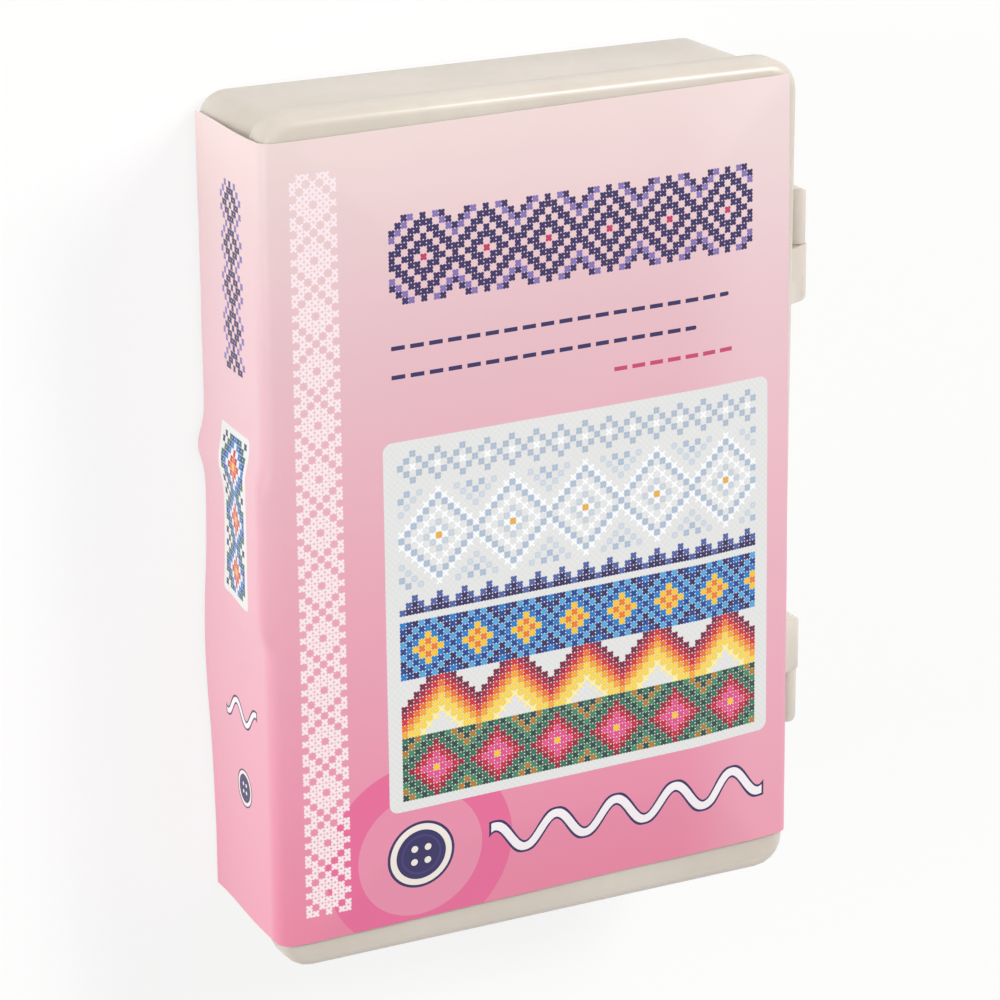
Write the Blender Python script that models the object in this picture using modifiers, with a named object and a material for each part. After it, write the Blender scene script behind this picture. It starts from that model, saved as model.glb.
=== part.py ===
"""Embroidery thread box: a divided tray, a shallow hipped lid on two snap hinges, a paper label and card bobbins.

The box lies flat as it is used. X runs along its length, -Y is the latch side, +Y is the hinge side and Z is up.
The origin is the centre of the tray's underside. All lengths are in metres.
"""
from math import cos, pi, radians, sin, sqrt, tan
from random import Random

import bmesh
import bpy
from mathutils import Matrix, Vector

# Overall size
LID_LENGTH = 0.180
LID_WIDTH = 0.120
BOX_HEIGHT = 0.040

# Lid
LID_WALL = 0.0013
LID_SKIRT_DEPTH = 0.0076
LID_CORNER_RADIUS = 0.0068
LID_EDGE_RADIUS = 0.0026
LID_RIM_BAND = 0.0034
LID_HIP_RUN = 0.0205
LID_CROWN_RISE = 0.0018

# Tray
LID_FIT_GAP = 0.0004
LID_SEAT_GAP = 0.0009
TRAY_WALL = 0.0014
TRAY_CORNER_EASE = 0.0009
TRAY_FOOT_RADIUS = 0.0020
DIVIDER_THICKNESS = 0.0012
DIVIDER_DROP = 0.0010
COLUMN_COUNT = 4
LONG_COLUMN = 3

# Hinges
HINGE_OFFSET_X = 0.0484
HINGE_AXIS_OUT = 0.0036
HINGE_AXIS_ABOVE_SKIRT = 0.0005
LUG_LENGTH = 0.0134
LUG_RADIUS = 0.0026
LUG_ROOT_RISE = 0.0046
LUG_THROAT = 0.0018
BRACKET_LENGTH = 0.0122
BRACKET_RADIUS = 0.0023
BRACKET_GUSSET_DEPTH = 0.0075
BRACKET_CORE_WALL = 0.0015
BRACKET_SKIRT_GAP = 0.0005
HINGE_PLAN_RADIUS = 0.0025
HINGE_EDGE_RADIUS = 0.0004
HINGE_SIDE_GAP = 0.0003
PIN_RADIUS = 0.0011
PIN_CLEARANCE = 0.0003
PIN_LENGTH = 0.0080
PIN_TIP_GAP = 0.0012
LID_OPEN_ANGLE = 110.0
STOP_GAP = 0.0003

# Catch
TAB_WIDTH = 0.0280
TAB_PROUD = 0.0012
TAB_DROP = 0.0025
TAB_SHOULDER = 0.0013
TAB_TOP_GAP = 0.0016
TAB_CORNER_RADIUS = 0.0010
BEAD_WIDTH = 0.0200
BEAD_RISE = 0.0005
BEAD_HEIGHT = 0.0012
BEAD_ABOVE_TAB = 0.0014
RIDGE_WIDTH = 0.0220
RIDGE_PASS_GAP = 0.0003
RIDGE_HEIGHT = 0.0014
RIDGE_ABOVE_BEAD = 0.0022

# Label
LABEL_THICKNESS = 0.00025
LABEL_GAP = 0.00030
LABEL_TILT = 0.95
LABEL_LOW_MARGIN = 0.0049
LABEL_HIGH_MARGIN = 0.0058
LABEL_HINGE_MARGIN = 0.0016
LABEL_FOOT_MARGIN = 0.0009
LABEL_FOOT_FALL = 0.0005
LABEL_TAB_REACH = 0.0075
LABEL_TAB_FADE = 0.0150
LABEL_STEP = 0.0055
FLAP_KINK_RISE = 0.0015
FLAP_KINK_X = -0.0145
FLAP_KINK_SPREAD = 0.0036
FLAP_WAVE_RISE = 0.0013
FLAP_WAVE_X = 0.0300
FLAP_WAVE_SPREAD = 0.0170

# Bobbins
BOBBIN_CLEARANCE = 0.0022
BOBBIN_HEIGHT = 0.0360
BOBBIN_THICKNESS = 0.0007
BOBBIN_LOBE_RADIUS = 0.0046
BOBBIN_WAIST_RADIUS = 0.0016
BOBBIN_HOLE_RADIUS = 0.0015
BOBBIN_HOLE_INSET = 0.0046
BOBBIN_GAP = 0.0003
PILE_TWIST = 3.0
PILE_DRIFT = 0.0007
PILES = ((1, 9), (2, 8), (4, 8))

# Shared modelling values
CUT_OVERRUN = 0.0010
WELD = 0.00001
CORNER_STEPS = 5
SMOOTH_ANGLE = radians(32)

# Sizes worked out from the values above
RIM_Z = BOX_HEIGHT - LID_CROWN_RISE
SKIRT_Z = RIM_Z - LID_SKIRT_DEPTH
TRAY_INSET = LID_WALL + LID_FIT_GAP
TRAY_LENGTH = LID_LENGTH - 2 * TRAY_INSET
TRAY_WIDTH = LID_WIDTH - 2 * TRAY_INSET
TRAY_CORNER_RADIUS = LID_CORNER_RADIUS - TRAY_INSET + TRAY_CORNER_EASE
TRAY_HEIGHT = RIM_Z - LID_WALL - LID_SEAT_GAP
CAVITY_LENGTH = TRAY_LENGTH - 2 * TRAY_WALL
CAVITY_WIDTH = TRAY_WIDTH - 2 * TRAY_WALL
COLUMN_LENGTH = (CAVITY_LENGTH - (COLUMN_COUNT - 1) * DIVIDER_THICKNESS) / COLUMN_COUNT
COLUMN_PITCH = COLUMN_LENGTH + DIVIDER_THICKNESS
HALF_ROOM_WIDTH = (CAVITY_WIDTH - DIVIDER_THICKNESS) / 2
DIVIDER_TOP = TRAY_HEIGHT - DIVIDER_DROP
AXIS_Y = LID_WIDTH / 2 + HINGE_AXIS_OUT
AXIS_Z = SKIRT_Z + HINGE_AXIS_ABOVE_SKIRT
HIP_INSET = LID_RIM_BAND + LID_HIP_RUN
RIDGE_RISE = TAB_PROUD + LID_FIT_GAP - BEAD_RISE - RIDGE_PASS_GAP
BOBBIN_WIDTH = COLUMN_LENGTH - 2 * BOBBIN_CLEARANCE

# Materials: base colour, roughness, transmission and name
FROSTED = ((0.80, 0.77, 0.72), 0.38, 0.35, "frosted_polypropylene")
PAPER = ((0.86, 0.48, 0.60), 0.45, 0.0, "printed_paper")
CARD = ((0.84, 0.82, 0.77), 0.75, 0.0, "white_card")


def clear_scene():
    """Start from nothing, whatever the file held."""
    for item in list(bpy.data.objects):
        bpy.data.objects.remove(item, do_unlink=True)


def make_collections():
    """One collection for the parts and one for the cutters."""
    made = []
    for name in ("embroidery_thread_box", "cutters"):
        group = bpy.data.collections.new(name)
        bpy.context.scene.collection.children.link(group)
        made.append(group)
    return made


def make_material(spec):
    """A plain Principled material in the part's colour."""
    colour, roughness, transmission, name = spec
    material = bpy.data.materials.new(name)
    material.use_nodes = True
    shader = material.node_tree.nodes["Principled BSDF"]
    shader.inputs["Base Color"].default_value = (*colour, 1.0)
    shader.inputs["Roughness"].default_value = roughness
    shader.inputs["Metallic"].default_value = 0.0
    shader.inputs["Transmission Weight"].default_value = transmission
    material.diffuse_color = (*colour, 1.0)
    return material


def new_object(name, data, group):
    """Link an object that holds the given mesh or curve."""
    item = bpy.data.objects.new(name, data)
    group.objects.link(item)
    return item


def mark_cutter(item):
    """Cutters stay out of the build and show as wire."""
    item.hide_render = True
    item.display_type = "WIRE"
    return item


def mesh_from_bmesh(name, shape, group):
    """Write a bmesh into a new object."""
    bmesh.ops.recalc_face_normals(shape, faces=shape.faces)
    mesh = bpy.data.meshes.new(name)
    shape.to_mesh(mesh)
    shape.free()
    return new_object(name, mesh, group)


def evaluated_mesh(item):
    """The object's mesh with its modifiers applied."""
    bpy.context.view_layer.update()
    graph = bpy.context.evaluated_depsgraph_get()
    return bpy.data.meshes.new_from_object(item.evaluated_get(graph), depsgraph=graph)


def apply_modifiers(item):
    """Replace the object's mesh by its evaluated one."""
    mesh = evaluated_mesh(item)
    item.modifiers.clear()
    item.data = mesh


def boolean(target, tool, operation):
    """Join or cut with the exact solver and apply it at once."""
    modifier = target.modifiers.new(operation.lower(), "BOOLEAN")
    modifier.operation = operation
    modifier.solver = "EXACT"
    modifier.object = tool
    apply_modifiers(target)


def extruded_outline(name, loops, depth, group):
    """A flat outline with holes, as a filled 2D curve, turned into a welded mesh of the given depth."""
    curve = bpy.data.curves.new(name, "CURVE")
    curve.dimensions = "2D"
    curve.fill_mode = "BOTH"
    curve.extrude = depth / 2
    for points in loops:
        spline = curve.splines.new("POLY")
        spline.points.add(len(points) - 1)
        for point, (u, v) in zip(spline.points, points):
            point.co = (u, v, 0.0, 1.0)
        spline.use_cyclic_u = True
    item = new_object(name, curve, group)
    mesh = evaluated_mesh(item)
    bpy.data.objects.remove(item, do_unlink=True)
    shape = bmesh.new()
    shape.from_mesh(mesh)
    bmesh.ops.remove_doubles(shape, verts=shape.verts, dist=WELD)
    bpy.data.meshes.remove(mesh)
    return mesh_from_bmesh(name, shape, group)


def arc(centre, radius, start, end, steps):
    """Points of an arc from one angle to another, in degrees."""
    points = []
    for step in range(steps + 1):
        angle = radians(start + (end - start) * step / steps)
        points.append((centre[0] + radius * cos(angle), centre[1] + radius * sin(angle)))
    return points


def box(name, low, high, group):
    """An axis-aligned box between two corners."""
    shape = bmesh.new()
    bmesh.ops.create_cube(shape, size=1.0)
    size = Vector(high) - Vector(low)
    middle = (Vector(high) + Vector(low)) / 2
    bmesh.ops.scale(shape, vec=size, verts=shape.verts)
    bmesh.ops.translate(shape, vec=middle, verts=shape.verts)
    return mesh_from_bmesh(name, shape, group)


def profile_along_x(name, points, x_low, x_high, group):
    """A (y, z) outline pushed along X between two places."""
    item = extruded_outline(name, [points], x_high - x_low, group)
    turn = Matrix(((0, 0, 1, (x_low + x_high) / 2), (1, 0, 0, 0), (0, 1, 0, 0), (0, 0, 0, 1)))
    item.data.transform(turn)
    return item


def cylinder_along_x(name, radius, x_low, x_high, segments, group):
    """A round bar on the hinge axis."""
    shape = bmesh.new()
    bmesh.ops.create_cone(shape, cap_ends=True, segments=segments, radius1=radius, radius2=radius,
                          depth=x_high - x_low)
    place = Matrix.Translation(((x_low + x_high) / 2, AXIS_Y, AXIS_Z)) @ Matrix.Rotation(pi / 2, 4, "Y")
    bmesh.ops.transform(shape, matrix=place, verts=shape.verts)
    return mesh_from_bmesh(name, shape, group)


def smooth(item):
    """Smooth shading that keeps the real edges."""
    item.data.shade_smooth()
    item.data.set_sharp_from_angle(angle=SMOOTH_ANGLE)


def finish_part(item, name, material):
    """Give a finished part its node name, its material and smooth shading."""
    item.name = name
    item.data.name = name
    item.data.materials.clear()
    item.data.materials.append(material)
    smooth(item)
    return item


def set_origin(item, place):
    """Move an object's origin without moving its shape."""
    item.data.transform(Matrix.Translation(-Vector(place)))
    item.location = place


def join_by_union(target, pieces):
    """Make one body of a piece and what is moulded onto it."""
    for piece in pieces:
        mark_cutter(piece)
        boolean(target, piece, "UNION")
        bpy.data.objects.remove(piece, do_unlink=True)


# Tray

def tray_shell(group):
    """Open box with rounded corners and a rounded foot, given its wall by Solidify."""
    shape = bmesh.new()
    bmesh.ops.create_cube(shape, size=1.0)
    bmesh.ops.scale(shape, vec=(TRAY_LENGTH, TRAY_WIDTH, TRAY_HEIGHT), verts=shape.verts)
    bmesh.ops.translate(shape, vec=(0, 0, TRAY_HEIGHT / 2), verts=shape.verts)
    bmesh.ops.delete(shape, geom=[f for f in shape.faces if f.normal.z > 0.5], context="FACES_ONLY")
    upright = [e for e in shape.edges if abs(e.verts[0].co.z - e.verts[1].co.z) > TRAY_HEIGHT / 2]
    bmesh.ops.bevel(shape, geom=upright, offset=TRAY_CORNER_RADIUS, segments=6, profile=0.5, affect="EDGES")
    foot = [e for e in shape.edges
            if max(v.co.z for v in e.verts) < WELD and len(e.link_faces) == 2]
    bmesh.ops.bevel(shape, geom=foot, offset=TRAY_FOOT_RADIUS, segments=3, profile=0.5, affect="EDGES")
    item = mesh_from_bmesh("tray_shell", shape, group)
    wall = item.modifiers.new("wall", "SOLIDIFY")
    wall.thickness = TRAY_WALL
    wall.offset = -1.0
    wall.use_even_offset = True
    apply_modifiers(item)
    return item


def divider_boxes(group):
    """Three full-depth dividers and a cross wall in every column but the long one."""
    pieces = []
    bite_x = TRAY_LENGTH / 2 - TRAY_WALL / 2
    bite_y = TRAY_WIDTH / 2 - TRAY_WALL / 2
    low_z = TRAY_WALL / 2
    half = DIVIDER_THICKNESS / 2
    for index in range(1, COLUMN_COUNT):
        x = -CAVITY_LENGTH / 2 + index * COLUMN_PITCH - half
        pieces.append(box("divider", (x - half, -bite_y, low_z), (x + half, bite_y, DIVIDER_TOP), group))
    for column in range(1, COLUMN_COUNT + 1):
        if column == LONG_COLUMN:
            continue
        low_x = max(column_low_x(column) - half, -bite_x)
        high_x = min(column_low_x(column) + COLUMN_LENGTH + half, bite_x)
        pieces.append(box("cross_wall", (low_x, -half, low_z), (high_x, half, DIVIDER_TOP), group))
    return pieces


def column_low_x(column):
    """Where a column of compartments starts, counted from 1 at -X."""
    return -CAVITY_LENGTH / 2 + (column - 1) * COLUMN_PITCH


def hinge_plan(name, x_low, x_high, y_outer, rounded_low, group):
    """Plan of a hinge knuckle with one well rounded outer corner, as a tall block to intersect with."""
    y_inner = TRAY_WIDTH / 2 - TRAY_WALL
    low_radius = HINGE_PLAN_RADIUS if rounded_low else HINGE_EDGE_RADIUS
    high_radius = HINGE_EDGE_RADIUS if rounded_low else HINGE_PLAN_RADIUS
    points = [(x_low, y_inner), (x_high, y_inner)]
    points += arc((x_high - high_radius, y_outer - high_radius), high_radius, 0, 90, 5)
    points += arc((x_low + low_radius, y_outer - low_radius), low_radius, 90, 180, 5)
    item = extruded_outline(name, [points], LID_WIDTH, group)
    return mark_cutter(item)


def hinge_span(side, start, length):
    """X range of a stretch of hinge that starts a distance outward of the hinge's middle plane."""
    near = side * (HINGE_OFFSET_X + start)
    far = side * (HINGE_OFFSET_X + start + length)
    return min(near, far), max(near, far)


def bracket_profile():
    """Outline of the tray's hinge bracket, seen along X: arm under the skirt, eye and gusset."""
    root_y = TRAY_WIDTH / 2 - TRAY_WALL / 2
    arm_z = SKIRT_Z - BRACKET_SKIRT_GAP
    points = [(root_y, arm_z), (LID_WIDTH / 2 + BRACKET_SKIRT_GAP, arm_z)]
    points += arc((AXIS_Y, AXIS_Z), BRACKET_RADIUS, 160, -60, 11)
    points.append((root_y, AXIS_Z - BRACKET_GUSSET_DEPTH))
    return points


def tray_hinge_pieces(side, parts, cutters):
    """One bracket with its cored underside and its pin, which points to the box's middle."""
    x_low, x_high = hinge_span(side, HINGE_SIDE_GAP / 2, BRACKET_LENGTH)
    bracket = profile_along_x("bracket", bracket_profile(), x_low, x_high, parts)
    plan = hinge_plan("bracket_plan", x_low, x_high, AXIS_Y + BRACKET_RADIUS, side < 0, cutters)
    boolean(bracket, plan, "INTERSECT")
    bpy.data.objects.remove(plan, do_unlink=True)
    core_low = (x_low + BRACKET_CORE_WALL, TRAY_WIDTH / 2, AXIS_Z - BRACKET_GUSSET_DEPTH - CUT_OVERRUN)
    core_high = (x_high - BRACKET_CORE_WALL, AXIS_Y - BRACKET_CORE_WALL,
                 SKIRT_Z - BRACKET_SKIRT_GAP - BRACKET_CORE_WALL)
    core = mark_cutter(box("bracket_core", core_low, core_high, cutters))
    boolean(bracket, core, "DIFFERENCE")
    bpy.data.objects.remove(core, do_unlink=True)
    root = (HINGE_SIDE_GAP + BRACKET_CORE_WALL) / 2
    pin_low, pin_high = hinge_span(side, root, -PIN_LENGTH - root)
    pin = cylinder_along_x("pin", PIN_RADIUS, pin_low, pin_high, 14, parts)
    return [bracket, pin]


def catch_ridge(group):
    """Ridge on the latch wall that the lid's bead snaps under."""
    wall_y = -TRAY_WIDTH / 2
    middle_z = SKIRT_Z - TAB_DROP + BEAD_ABOVE_TAB + RIDGE_ABOVE_BEAD
    root_y = wall_y + TRAY_WALL / 2
    half = RIDGE_HEIGHT / 2
    points = [(root_y, middle_z + half), (wall_y, middle_z + half), (wall_y - RIDGE_RISE, middle_z + half / 3),
              (wall_y - RIDGE_RISE, middle_z - half / 3), (wall_y, middle_z - half), (root_y, middle_z - half)]
    return profile_along_x("ridge", points, -RIDGE_WIDTH / 2, RIDGE_WIDTH / 2, group)


def build_tray(parts, cutters, material):
    """The whole tray as one moulding."""
    tray = tray_shell(parts)
    pieces = divider_boxes(parts)
    for side in (-1, 1):
        pieces += tray_hinge_pieces(side, parts, cutters)
    pieces.append(catch_ridge(parts))
    join_by_union(tray, pieces)
    return finish_part(tray, "base_tray", material)


# Lid

def rounded_ring(shape, inset, radius, z):
    """A ring of vertices round a rounded rectangle that lies inside the lid's outline."""
    half_x = LID_LENGTH / 2 - inset
    half_y = LID_WIDTH / 2 - inset
    ring = []
    for quarter, (sx, sy) in enumerate(((1, 1), (-1, 1), (-1, -1), (1, -1))):
        centre = (sx * (half_x - radius), sy * (half_y - radius))
        for u, v in arc(centre, radius, 90 * quarter, 90 * quarter + 90, CORNER_STEPS):
            ring.append(shape.verts.new((u, v, z)))
    return ring


def join_rings(shape, lower, upper):
    """Quads between two rings with the same number of vertices."""
    count = len(lower)
    for index in range(count):
        after = (index + 1) % count
        shape.faces.new((lower[index], lower[after], upper[after], upper[index]))


def close_with_hips(shape, ring):
    """Four hipped slopes from the rim up to the raised panel, and the panel itself."""
    half_x = LID_LENGTH / 2 - HIP_INSET
    half_y = LID_WIDTH / 2 - HIP_INSET
    corners = ((1, 1), (-1, 1), (-1, -1), (1, -1))
    crown = [shape.verts.new((sx * half_x, sy * half_y, BOX_HEIGHT)) for sx, sy in corners]
    for quarter in range(4):
        first = quarter * (CORNER_STEPS + 1)
        for step in range(CORNER_STEPS):
            shape.faces.new((ring[first + step], ring[first + step + 1], crown[quarter]))
        last = first + CORNER_STEPS
        after = (last + 1) % len(ring)
        shape.faces.new((ring[last], ring[after], crown[(quarter + 1) % 4], crown[quarter]))
    shape.faces.new(crown)


def lid_shell(group):
    """Skirt, rounded edge, rim and hipped top as one open surface, given its wall by Solidify."""
    shape = bmesh.new()
    rings = [rounded_ring(shape, 0, LID_CORNER_RADIUS, SKIRT_Z)]
    for u, v in arc((LID_EDGE_RADIUS, RIM_Z - LID_EDGE_RADIUS), LID_EDGE_RADIUS, 180, 90, 4):
        rings.append(rounded_ring(shape, u, LID_CORNER_RADIUS - u, v))
    rings.append(rounded_ring(shape, LID_RIM_BAND, LID_CORNER_RADIUS - LID_RIM_BAND, RIM_Z))
    for lower, upper in zip(rings, rings[1:]):
        join_rings(shape, lower, upper)
    close_with_hips(shape, rings[-1])
    item = mesh_from_bmesh("lid_shell", shape, group)
    wall = item.modifiers.new("wall", "SOLIDIFY")
    wall.thickness = LID_WALL
    wall.offset = -1.0
    wall.use_even_offset = True
    apply_modifiers(item)
    return item


def lug_profile():
    """Outline of the lid's hinge lug, seen along X: root on the skirt, eye, and a heel that stops the lid."""
    root_y = LID_WIDTH / 2 - LID_WALL / 2
    reach = HINGE_AXIS_OUT + TRAY_INSET - STOP_GAP
    stop = LID_OPEN_ANGLE - 180
    foot_y = reach * cos(radians(stop))
    foot_z = reach * sin(radians(stop))
    climb = (LUG_RADIUS - foot_y) / -sin(radians(stop)) * cos(radians(stop))
    points = [(root_y, AXIS_Z + LUG_ROOT_RISE)]
    points += arc((AXIS_Y, AXIS_Z), LUG_RADIUS, 78, 0, 5)
    points.append((AXIS_Y + LUG_RADIUS, AXIS_Z + foot_z + climb))
    points += arc((AXIS_Y, AXIS_Z), reach, stop, stop - 30, 3)
    points.append((AXIS_Y - LUG_THROAT, AXIS_Z - LUG_THROAT))
    points.append((root_y, SKIRT_Z))
    return points


def lid_lug(side, parts, cutters):
    """One lug with a blind bore for the tray's pin."""
    x_low, x_high = hinge_span(side, -HINGE_SIDE_GAP / 2, -LUG_LENGTH)
    lug = profile_along_x("lug", lug_profile(), x_low, x_high, parts)
    plan = hinge_plan("lug_plan", x_low, x_high, AXIS_Y + LUG_RADIUS, side > 0, cutters)
    boolean(lug, plan, "INTERSECT")
    bpy.data.objects.remove(plan, do_unlink=True)
    return lug


def bore_cutter(side, cutters):
    """Round cutter for the lug's blind bore."""
    deep = PIN_LENGTH + PIN_TIP_GAP
    x_low, x_high = hinge_span(side, HINGE_SIDE_GAP + CUT_OVERRUN, -deep - HINGE_SIDE_GAP - CUT_OVERRUN)
    return mark_cutter(cylinder_along_x("bore", PIN_RADIUS + PIN_CLEARANCE, x_low, x_high, 14, cutters))


def thumb_tab_profile():
    """Outline of the thumb tab, seen along X, with the skirt's thickness behind it."""
    front = -LID_WIDTH / 2
    low = SKIRT_Z - TAB_DROP
    high = RIM_Z - TAB_TOP_GAP
    back = front + LID_WALL / 2
    return [(back, high), (front, high), (front - TAB_PROUD, high - TAB_SHOULDER), (front - TAB_PROUD, low),
            (back, low)]


def tab_pocket(cutters):
    """Cutter that keeps the tab's wall as thin as the skirt."""
    front = -LID_WIDTH / 2
    half = TAB_WIDTH / 2 - LID_WALL
    low = (-half, front - TAB_PROUD + LID_WALL, SKIRT_Z - TAB_DROP - CUT_OVERRUN)
    high = (half, front + LID_WALL + CUT_OVERRUN, RIM_Z - TAB_TOP_GAP - TAB_SHOULDER - LID_WALL)
    return mark_cutter(box("tab_pocket", low, high, cutters))


def tab_plan(cutters):
    """Plan of the thumb tab with rounded ends, as a tall block to intersect with."""
    front = -LID_WIDTH / 2 - TAB_PROUD
    half = TAB_WIDTH / 2
    inner = -LID_WIDTH / 2 + LID_WALL
    points = [(half, inner), (-half, inner)]
    points += arc((-half + TAB_CORNER_RADIUS, front + TAB_CORNER_RADIUS), TAB_CORNER_RADIUS, 180, 270, 3)
    points += arc((half - TAB_CORNER_RADIUS, front + TAB_CORNER_RADIUS), TAB_CORNER_RADIUS, 270, 360, 3)
    return mark_cutter(extruded_outline("tab_plan", [points], LID_WIDTH, cutters))


def snap_bead(group):
    """Bead inside the thumb tab, just under the tray's ridge."""
    face = -LID_WIDTH / 2 - TAB_PROUD + LID_WALL
    middle_z = SKIRT_Z - TAB_DROP + BEAD_ABOVE_TAB
    root = face - LID_WALL / 2
    half = BEAD_HEIGHT / 2
    points = [(root, middle_z + half), (face, middle_z + half), (face + BEAD_RISE, middle_z + half / 3),
              (face + BEAD_RISE, middle_z - half / 3), (face, middle_z - half), (root, middle_z - half)]
    return profile_along_x("bead", points, -BEAD_WIDTH / 2, BEAD_WIDTH / 2, group)


def build_lid(parts, cutters, material):
    """The whole lid as one moulding, with its origin on the hinge axis."""
    lid = lid_shell(parts)
    tab = profile_along_x("tab", thumb_tab_profile(), -TAB_WIDTH / 2, TAB_WIDTH / 2, parts)
    plan = tab_plan(cutters)
    boolean(tab, plan, "INTERSECT")
    bpy.data.objects.remove(plan, do_unlink=True)
    join_by_union(lid, [tab, lid_lug(-1, parts, cutters), lid_lug(1, parts, cutters)])
    for cutter in (tab_pocket(cutters), bore_cutter(-1, cutters), bore_cutter(1, cutters)):
        boolean(lid, cutter, "DIFFERENCE")
        bpy.data.objects.remove(cutter, do_unlink=True)
    join_by_union(lid, [snap_bead(parts)])
    finish_part(lid, "lid", material)
    set_origin(lid, (0, AXIS_Y, AXIS_Z))
    return lid


# Label

def lid_top_z(x, y):
    """Height of the lid's top at a place: hips and panel, and the rounded edge along the hinge side."""
    inside = min(LID_LENGTH / 2 - abs(x), LID_WIDTH / 2 - abs(y)) - LID_RIM_BAND
    share = min(max(inside / LID_HIP_RUN, 0.0), 1.0)
    past_edge = max(y - (LID_WIDTH / 2 - LID_EDGE_RADIUS), 0.0)
    reach = LID_EDGE_RADIUS + LABEL_GAP
    return RIM_Z + LID_CROWN_RISE * share - reach + sqrt(reach ** 2 - past_edge ** 2)


def bump(x, middle, spread):
    """A smooth hump of height one."""
    return 2.0 ** (-((x - middle) / spread) ** 2)


def ease(share):
    """Smooth step from 0 to 1."""
    share = min(max(share, 0.0), 1.0)
    return share * share * (3 - 2 * share)


def over_tab(x, z):
    """How far the label stands out where it passes over the thumb tab."""
    beside = ease((TAB_WIDTH / 2 + LABEL_TAB_REACH - abs(x)) / LABEL_TAB_REACH)
    above = ease((RIM_Z + LABEL_GAP - z) / (LABEL_GAP + TAB_TOP_GAP + TAB_SHOULDER))
    below = ease((z - (SKIRT_Z - TAB_DROP - LABEL_TAB_FADE)) / LABEL_TAB_FADE)
    return TAB_PROUD * beside * above * below


def flap_y(x, z):
    """Inner face of the label's side flap: over the skirt and thumb tab, then in to the tray's wall."""
    skirt_face = -LID_WIDTH / 2 - LABEL_GAP
    tray_face = -TRAY_WIDTH / 2 - LABEL_GAP
    down = ease((SKIRT_Z - z) / (SKIRT_Z - LABEL_FOOT_MARGIN))
    plain = skirt_face + (tray_face - skirt_face) * down
    loose = FLAP_KINK_RISE * bump(x, FLAP_KINK_X, FLAP_KINK_SPREAD)
    loose += FLAP_WAVE_RISE * bump(x, FLAP_WAVE_X, FLAP_WAVE_SPREAD)
    return plain - over_tab(x, z) - loose * down


def stations(low, high, count):
    """Evenly spaced places from low to high."""
    return [low + (high - low) * index / count for index in range(count + 1)]


def step_count(length, longest):
    """How many even steps cover a length when none is longer than the longest."""
    return max(int(-(-length // longest)), 1)


def label_section(along_share):
    """(y, z) places of the label's inner face, from the tray's foot over the edge to the hinge side."""
    side_top = RIM_Z - LID_EDGE_RADIUS
    foot = LABEL_FOOT_MARGIN - LABEL_FOOT_FALL * along_share
    tab_low = SKIRT_Z - TAB_DROP
    points = [(None, z) for z in stations(foot, tab_low, step_count(tab_low, LABEL_STEP))]
    points += [(None, z) for z in stations(tab_low, side_top, step_count(side_top - tab_low, LABEL_STEP / 2))[1:]]
    centre = (-LID_WIDTH / 2 + LID_EDGE_RADIUS, side_top)
    points += arc(centre, LID_EDGE_RADIUS + LABEL_GAP, 180, 90, 4)[1:]
    low_band = -LID_WIDTH / 2 + LID_RIM_BAND
    high_band = LID_WIDTH / 2 - LID_RIM_BAND
    crown = LID_WIDTH / 2 - HIP_INSET
    points.append((low_band, None))
    for low, high, step in ((low_band, -crown, LABEL_STEP), (-crown, crown, 2 * LABEL_STEP),
                            (crown, high_band, LABEL_STEP)):
        points += [(y, None) for y in stations(low, high, step_count(high - low, step))[1:]]
    lean = LID_LENGTH / 2 * tan(radians(LABEL_TILT))
    end = LID_WIDTH / 2 - LABEL_HINGE_MARGIN + lean * along_share
    points += [(y, None) for y in stations(high_band, end, 4)[1:]]
    return points


def label_ends(y, z):
    """Where the label's two end edges lie at one place of its section, since it was stuck on slightly askew."""
    drop = 0.0 if z is None else max(RIM_Z - z, 0.0)
    run = 0.0 if y is None else y + LID_WIDTH / 2
    lean = (drop - run) * tan(radians(LABEL_TILT))
    return -LID_LENGTH / 2 + LABEL_LOW_MARGIN + lean, LID_LENGTH / 2 - LABEL_HIGH_MARGIN + lean


def label_columns(low, high):
    """Places along the label from end to end, which keep to the lid's creases and the thumb tab."""
    crown = LID_LENGTH / 2 - HIP_INSET
    tab_edge = TAB_WIDTH / 2 + LABEL_TAB_REACH
    end_count = step_count(HIP_INSET, LABEL_STEP)
    places = stations(low, -crown, end_count)
    for start, stop in ((-crown, -tab_edge), (-tab_edge, tab_edge), (tab_edge, crown)):
        places += stations(start, stop, step_count(stop - start, LABEL_STEP))[1:]
    places += stations(crown, high, end_count)[1:]
    return places


def label_point(column, along_share, row):
    """One point of the label's inner face."""
    y, z = label_section(along_share)[row]
    x = label_columns(*label_ends(y, z))[column]
    if y is None:
        y = flap_y(x, z)
    elif z is None:
        z = lid_top_z(x, y) + LABEL_GAP
    else:
        y -= over_tab(x, z)
    return x, y, z


def build_label(parts, material):
    """The folded label as a sheet that follows the lid, given its thickness by Solidify."""
    columns = label_columns(*label_ends(None, RIM_Z))
    row_count = len(label_section(0.0))
    shape = bmesh.new()
    grid = []
    for column, place in enumerate(columns):
        along_share = 2 * place / LID_LENGTH
        grid.append([shape.verts.new(label_point(column, along_share, row)) for row in range(row_count)])
    for line, after in zip(grid, grid[1:]):
        for row in range(row_count - 1):
            shape.faces.new((line[row], line[row + 1], after[row + 1], after[row]))
    item = mesh_from_bmesh("label", shape, parts)
    if item.data.polygons[0].normal.y > 0:
        item.data.flip_normals()
    sheet = item.modifiers.new("sheet", "SOLIDIFY")
    sheet.thickness = LABEL_THICKNESS
    sheet.offset = 1.0
    sheet.use_even_offset = True
    apply_modifiers(item)
    finish_part(item, "label", material)
    set_origin(item, (0, AXIS_Y, AXIS_Z))
    return item


# Bobbins

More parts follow.
